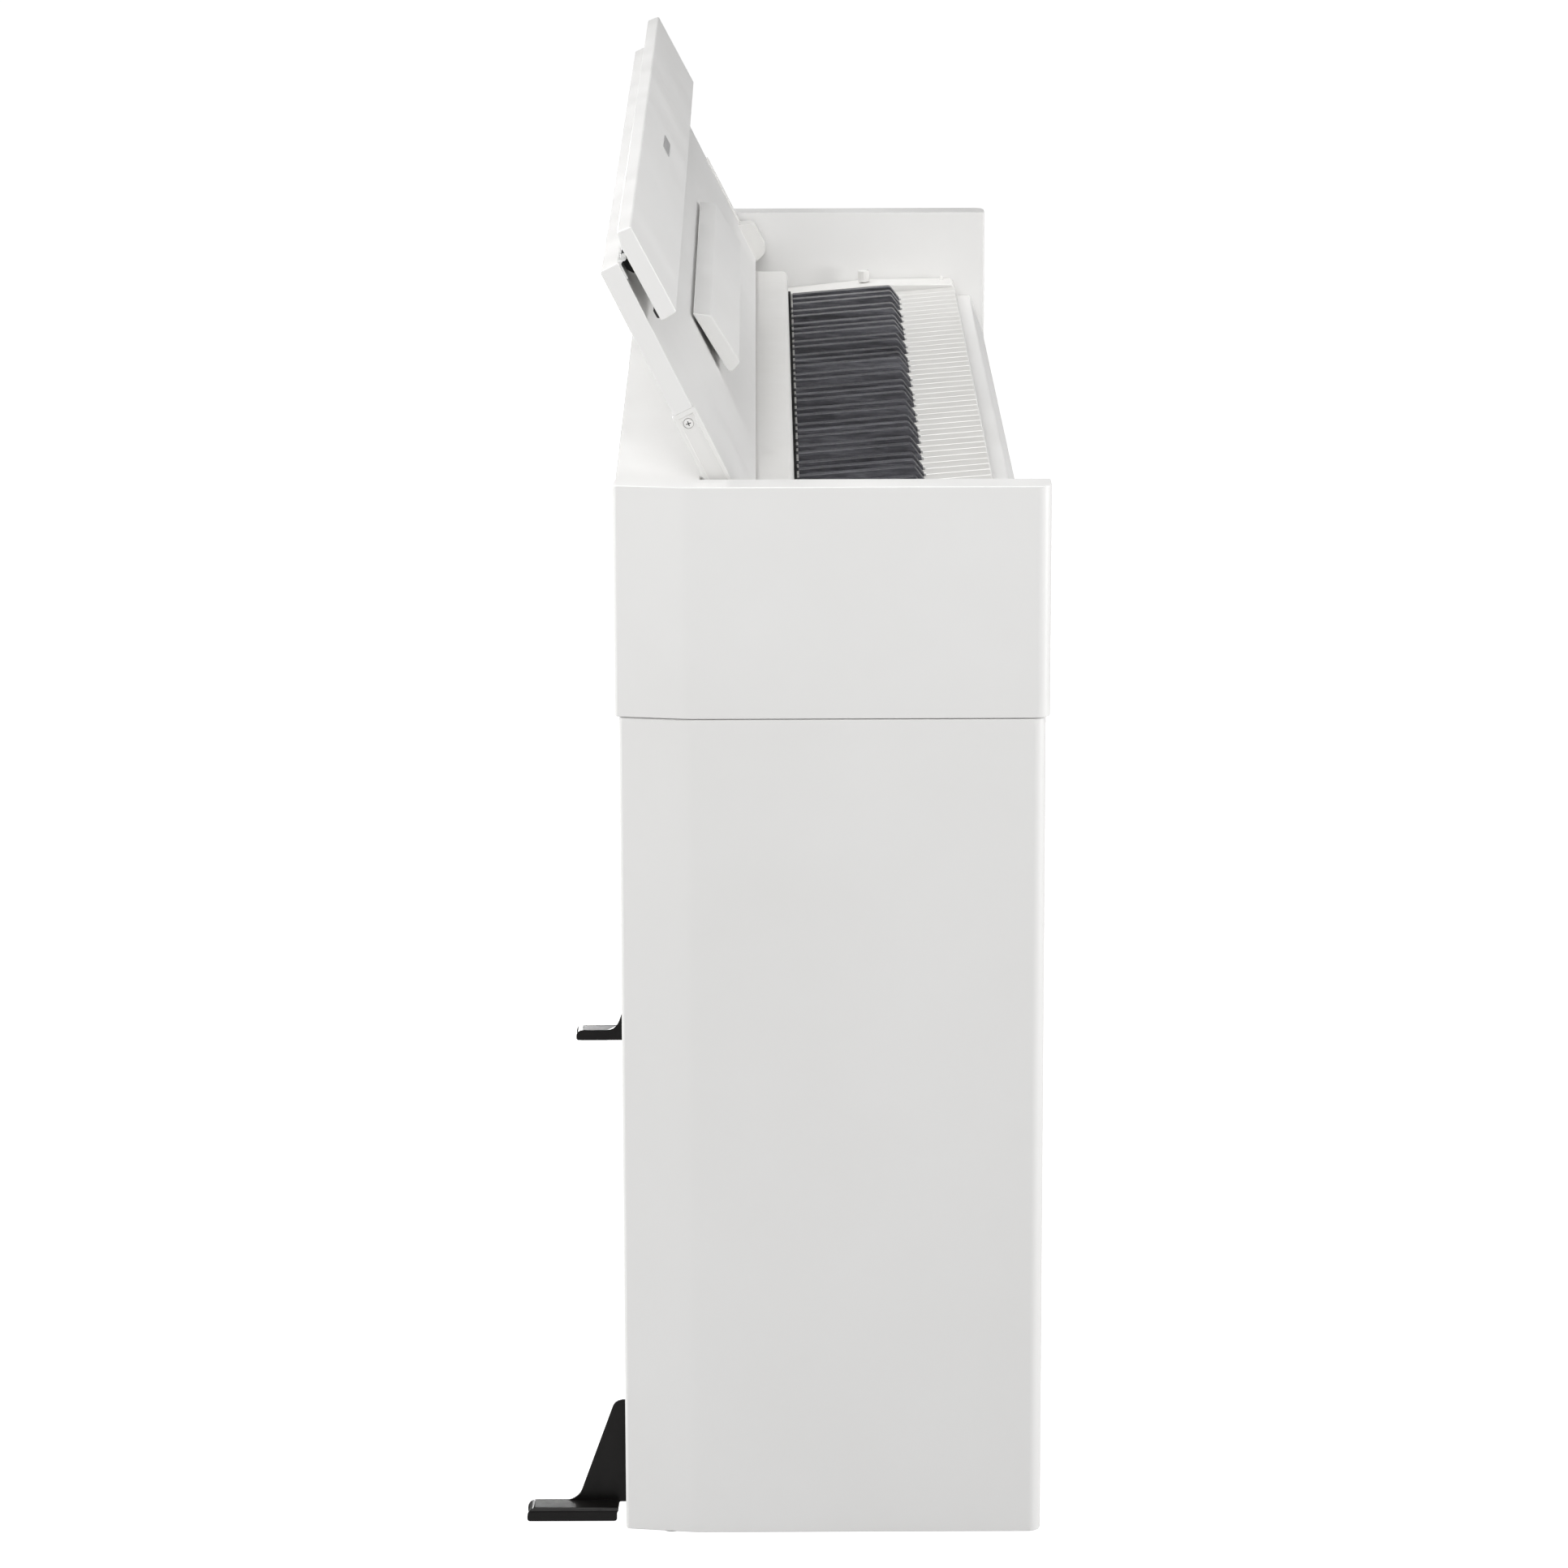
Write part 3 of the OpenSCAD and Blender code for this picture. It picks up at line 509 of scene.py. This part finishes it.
def pedal(node):
    """A cast lever: a broad rounded tip that narrows to an arm, bored for the rod."""
    low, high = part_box(node)
    x = (low.x + high.x) / 2
    places = [PEDAL_TIP * (1 - math.cos(math.radians(a))) for a in range(8, 91, 7)]
    places += [PEDAL_TIP + k * 5 for k in range(1, 33)]
    places += [PEDAL_LENGTH - 4, PEDAL_LENGTH - 1.5, PEDAL_LENGTH]
    rings = []
    for s in places:
        tip = math.sqrt(1 - (1 - min(s, PEDAL_TIP) / PEDAL_TIP) ** 2)
        heel = math.sqrt(max(0.3, 1 - (max(s - PEDAL_LENGTH + 4, 0) / 4.6) ** 2))
        half = curve(s, PEDAL_WIDTH) * tip * heel
        top, bottom = curve(s, PEDAL_TOP), curve(s, PEDAL_BOTTOM)
        middle = (top + bottom) / 2
        tall = (top - bottom) / 2 * tip ** 0.6 * heel
        points = []
        for i in range(48):
            a = 2 * math.pi * i / 48
            c, d = math.cos(a), math.sin(a)
            points.append(Vector((x + half * MM * math.copysign(abs(c) ** 0.62, c), low.y + s * MM,
                                  (middle + tall * math.copysign(abs(d) ** 0.62, d)) * MM)))
        rings.append(points)
    bm = bmesh.new()
    loft(bm, rings)
    body = make_piece(node + "_lever", bm, "chrome", node, node)
    bm = bmesh.new()
    across = Matrix.Rotation(math.radians(90), 3, "Y")
    place, height, radius = PEDAL_BORE
    turned(bm, (x - 0.02, low.y + place * MM, height * MM), across, [(radius, 0), (radius, 40)])
    bmesh.ops.recalc_face_normals(bm, faces=bm.faces)
    mesh = bpy.data.meshes.new("cutter")
    bm.to_mesh(mesh)
    bm.free()
    cutter = bpy.data.objects.new("cutter", mesh)
    bpy.context.scene.collection.objects.link(cutter)
    bore = body.modifiers.new("bore", "BOOLEAN")
    bore.object = cutter
    bore.solver = "EXACT"
    body.modifiers.move(len(body.modifiers) - 1, 0)
    bpy.context.view_layer.update()
    made = bpy.data.meshes.new_from_object(body.evaluated_get(bpy.context.evaluated_depsgraph_get()))
    body.modifiers.clear()
    body.data = made
    bpy.data.objects.remove(cutter)


PEDAL_SLOT_Z = 0.069


def pedal_slot_frames():
    """A moulded collar round each slot in the pedal box."""
    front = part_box("pedal_box")[0].y
    bm = bmesh.new()
    for node in ("pedal_soft", "pedal_sostenuto", "pedal_damper"):
        low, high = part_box(node)
        centre = ((low.x + high.x) / 2, PEDAL_SLOT_Z)
        loft(bm, [rounded_rectangle(centre, half_x, half_z, radius, front - proud * MM) for
                  half_x, half_z, radius, proud in (
                      (9.9, 14.9, 1.5, -6.0), (9.9, 14.9, 1.5, -0.2), (8.6, 13.6, 1.5, 0.6),
                      (9.4, 14.4, 1.8, 1.2), (12.4, 17.4, 3.0, 1.2), (13.0, 18.0, 3.2, 0.6),
                      (13.0, 18.0, 3.2, 0.0),
                      (10.0, 15.0, 1.5, 0.0), (10.0, 15.0, 1.5, -6.0))], loop=True)
    make_piece("pedal_slot_frames", bm, "black_plastic", CABINET)


def headphone_nuts():
    """Knurled nuts round the headphone jacks."""
    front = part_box("headphone_box")[0].y
    bm = bmesh.new()
    for mount in frame["record"]["mounts"]:
        if mount["name"].startswith("headphone_jack"):
            x, _, z = mount["pos_m"]
            turned(bm, (x, front, z), TOWARDS_PLAYER, [
                (3.3, -0.5), (3.3, 2.1), (3.6, 2.5), (4.1, 2.5), (4.5, 1.9), (5.3, 1.7), (5.6, 1.3, 0.3),
                (5.6, 0.3, 0.3), (5.5, -0.05)], loop=True, sides=96, flutes=24)
    make_piece("headphone_nuts", bm, "chrome", CABINET)


LAMP_INSET = 0.0102
LAMP_Y = -0.150


def power_lamp():
    """A small domed lamp on the treble cheek."""
    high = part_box("cheek_blocks")[1]
    bm = bmesh.new()
    turned(bm, (high.x - LAMP_INSET, LAMP_Y, high.z), UP, [
        (1.9, -2.0), (1.9, 0.0), (1.8, 0.35), (1.45, 0.5), (1.4, 2.2), (1.2, 2.8), (0.8, 3.1),
        (0.2, 3.2)], sides=48)
    make_piece("power_lamp", bm, "white_plastic", CABINET)


def adjuster_wheel():
    """A ribbed hand wheel under a threaded stem."""
    low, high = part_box("adjuster_foot")
    tall = (high.z - low.z) / MM
    profile = [(14.0, 0.0), (16.6, 0.25), (17.6, 1.0), (18.2, 2.0, 0.2), (18.9, 2.8, 0.9), (18.9, 6.6, 0.9),
               (18.2, 7.6, 0.2), (17.4, 8.4), (15.8, 8.9), (10.0, 9.0), (8.2, 9.4), (7.4, 10.5),
               (7.4, 15.5), (6.9, 16.0)]
    height = 16.4
    while height < tall - 1.6:
        profile += [(4.4, height), (4.95, height + 0.5), (4.95, height + 0.7)]
        height += 1.2
    profile += [(4.4, tall - 0.6), (3.6, tall), (0.5, tall)]
    bm = bmesh.new()
    turned(bm, (*centre_of("adjuster_foot"), low.z), UP, profile, sides=160, flutes=40)
    make_piece("adjuster_wheel", bm, "rubber", "adjuster", "adjuster_foot")


def cap_screws():
    """White pan heads, each with a black cross laid on its top as painted shade of a cross recess, one in
    each of the lid's end caps.
    """
    low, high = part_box("lid_screws")
    y, z = (low.y + high.y) / 2, (low.z + high.z) / 2
    r = (high.z - low.z) / 2 / MM
    heads, painted_shade_crosses = bmesh.new(), bmesh.new()
    for x, side in ((low.x, -1), (high.x, 1)):
        outward = Matrix.Rotation(math.radians(90 * side), 3, "Y")
        turned(heads, (x, y, z), outward, [
            (0.3, -10.0), (1.5, -9.0), (1.5, -1.4), (r - 0.4, -1.4), (r - 0.05, -1.2), (r - 0.05, -0.75),
            (r - 0.25, -0.45), (r - 0.8, -0.2), (r - 1.6, -0.07), (0.3, -0.05)], sides=48)
        # A black cross on each domed head is painted shade standing in for a cross recess, which the heads
        # don't have
        for turn in (20, 110):
            blade = outward @ Matrix.Rotation(math.radians(turn), 3, "Z")
            loft(painted_shade_crosses, [[Vector((x, y, z)) + blade @ Vector((u * reach * MM, v * MM, h * MM))
                            for u, v in ((1, 0.32), (-1, 0.32), (-1, -0.32), (1, -0.32))]
                           for reach, h in ((1.2, -0.9), (1.75, -0.02))])
    make_piece("cap_screw_heads", heads, "white_plastic", "lid", "lid_screws")
    make_piece("cap_screw_painted_shade_crosses", painted_shade_crosses, "black_plastic", "lid")


# Centres of the two data sockets, X and Z in millimetres
SOCKETS = ((-462, 662.5), (-421, 661.75))


def rear_sockets():
    """The inside of the power inlet and of the two data sockets."""
    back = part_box("jack_panel")[1].y
    x, _, z = next(m["pos_m"] for m in frame["record"]["mounts"] if m["name"] == "power_inlet")
    bm = bmesh.new()
    turned(bm, (x, back, z), TOWARDS_WALL, [
        (3.4, -11.0), (3.4, -4.4), (3.2, -4.2), (3.2, -0.4), (3.4, 0.0), (3.4, 0.5), (3.8, 0.7), (4.8, 0.7),
        (5.2, 0.4), (5.2, -0.1), (3.25, -0.2), (3.25, -4.1), (4.6, -4.2), (4.6, -11.0)], loop=True)
    make_piece("inlet_cup", bm, "black_plastic", CABINET)
    bm = bmesh.new()
    turned(bm, (x, back, z), TOWARDS_WALL, [
        (4.5, -12.0), (4.5, -11.2), (1.2, -11.0), (0.85, -10.4), (0.85, -2.6), (0.6, -1.9),
        (0.2, -1.7)], sides=40)
    for centre, half_x, half_z in ((SOCKETS[0], 5.7, 5.2), (SOCKETS[1], 6.7, 3.0)):
        at = (centre[0] * MM, centre[1] * MM)
        loft(bm, [rounded_rectangle(at, half_x - inset, half_z - inset, 0.6, back - deep * MM, steps=3)
                  for inset, deep in ((0.0, 0.6), (0.35, 0.4), (0.45, 0.9), (0.45, 9.0), (0.0, 9.0))],
             loop=True)
        tongue = (at[0], at[1] + 0.1 * half_z * MM)
        loft(bm, [rounded_rectangle(tongue, (half_x - 1.6) * narrow, 0.55 * narrow, 0.2,
                                    back - deep * MM, steps=2)
                  for narrow, deep in ((1.0, 9.5), (1.0, 2.2), (0.85, 1.6))])
    make_piece("socket_contacts", bm, "steel", CABINET)


volume_knob()
deck_buttons()
for name in ("pedal_soft", "pedal_sostenuto", "pedal_damper"):
    pedal(name)
pedal_slot_frames()
headphone_nuts()
power_lamp()
adjuster_wheel()
cap_screws()
rear_sockets()

# ---------------------------------------------------------------- stage

FLOOR_HALF = 60.0
# The backdrop and floor look white, and light the piano more softly than that
WORLD_LIGHT = 0.12
FLOOR_LIGHT = 0.44
SEEN = 1.0


def seen_or_cast(tree, cast, target):
    """Links SEEN for rays from the camera, and cast for all other rays."""
    rays = tree.nodes.new("ShaderNodeLightPath")
    level = tree.nodes.new("ShaderNodeMapRange")
    level.inputs["To Min"].default_value = cast
    level.inputs["To Max"].default_value = SEEN
    tree.links.new(rays.outputs["Is Camera Ray"], level.inputs["Value"])
    tree.links.new(level.outputs["Result"], target)


def make_floor():
    mesh = bpy.data.meshes.new("floor")
    corners = [(x * FLOOR_HALF, y * FLOOR_HALF, 0) for x, y in ((-1, -1), (1, -1), (1, 1), (-1, 1))]
    mesh.from_pydata(corners, [], [(0, 1, 2, 3)])
    floor = bpy.data.objects.new("floor", mesh)
    bpy.context.scene.collection.objects.link(floor)
    s = Surface("pale_floor", grey(0.35), 0.9)
    s.set(Emission_Color=(1, 1, 1, 1), Specular_IOR_Level=0.1)
    seen_or_cast(s.tree, FLOOR_LIGHT, s.shader.inputs["Emission Strength"])
    mesh.materials.append(s.material)


def make_light(name, at, aim, size, power):
    data = bpy.data.lights.new(name, "AREA")
    data.shape = "SQUARE"
    data.size = size
    data.energy = power
    light = bpy.data.objects.new(name, data)
    bpy.context.scene.collection.objects.link(light)
    light.location = at
    light.rotation_euler = (Vector(aim) - Vector(at)).to_track_quat("-Z", "Y").to_euler()
    light.visible_camera = False


def make_world():
    """Soft white light from all round, with a backdrop as white as the floor."""
    world = bpy.data.worlds.new("studio")
    bpy.context.scene.world = world
    world.use_nodes = True
    tree = world.node_tree
    back = tree.nodes["Background"]
    back.inputs["Color"].default_value = (1, 1, 1, 1)
    seen_or_cast(tree, WORLD_LIGHT, back.inputs["Strength"])


make_floor()
make_world()
make_light("overhead", (0.2, 0.9, 3.2), (0, 0, 0.7), 2.2, 54)
make_light("over_keys", (0.2, -0.05, 3.2), (0.2, -0.05, 0.7), 2.2, 9)
make_light("rear", (-0.9, 3.6, 1.6), (-0.6, 0.1, 0.5), 1.6, 76)
make_light("front", (-1.2, -3.4, 0.9), (-0.5, 0, 0.6), 1.2, 64)
make_light("high_front", (0, -2.2, 2.6), (0, 0, 0.7), 1.4, 12)
make_light("bass_side", (-2.4, 0.0, 2.2), (-0.6, 0, 0.8), 1.0, 18)
make_light("treble_side", (2.9, 0.6, 0.36), (0.68, 0, 0.4), 0.6, 32)
make_light("bass_rear", (-2.4, 0.7, 2.0), (-0.6, 0, 0.8), 1.2, 13)
bpy.context.scene.view_settings.view_transform = "Standard"
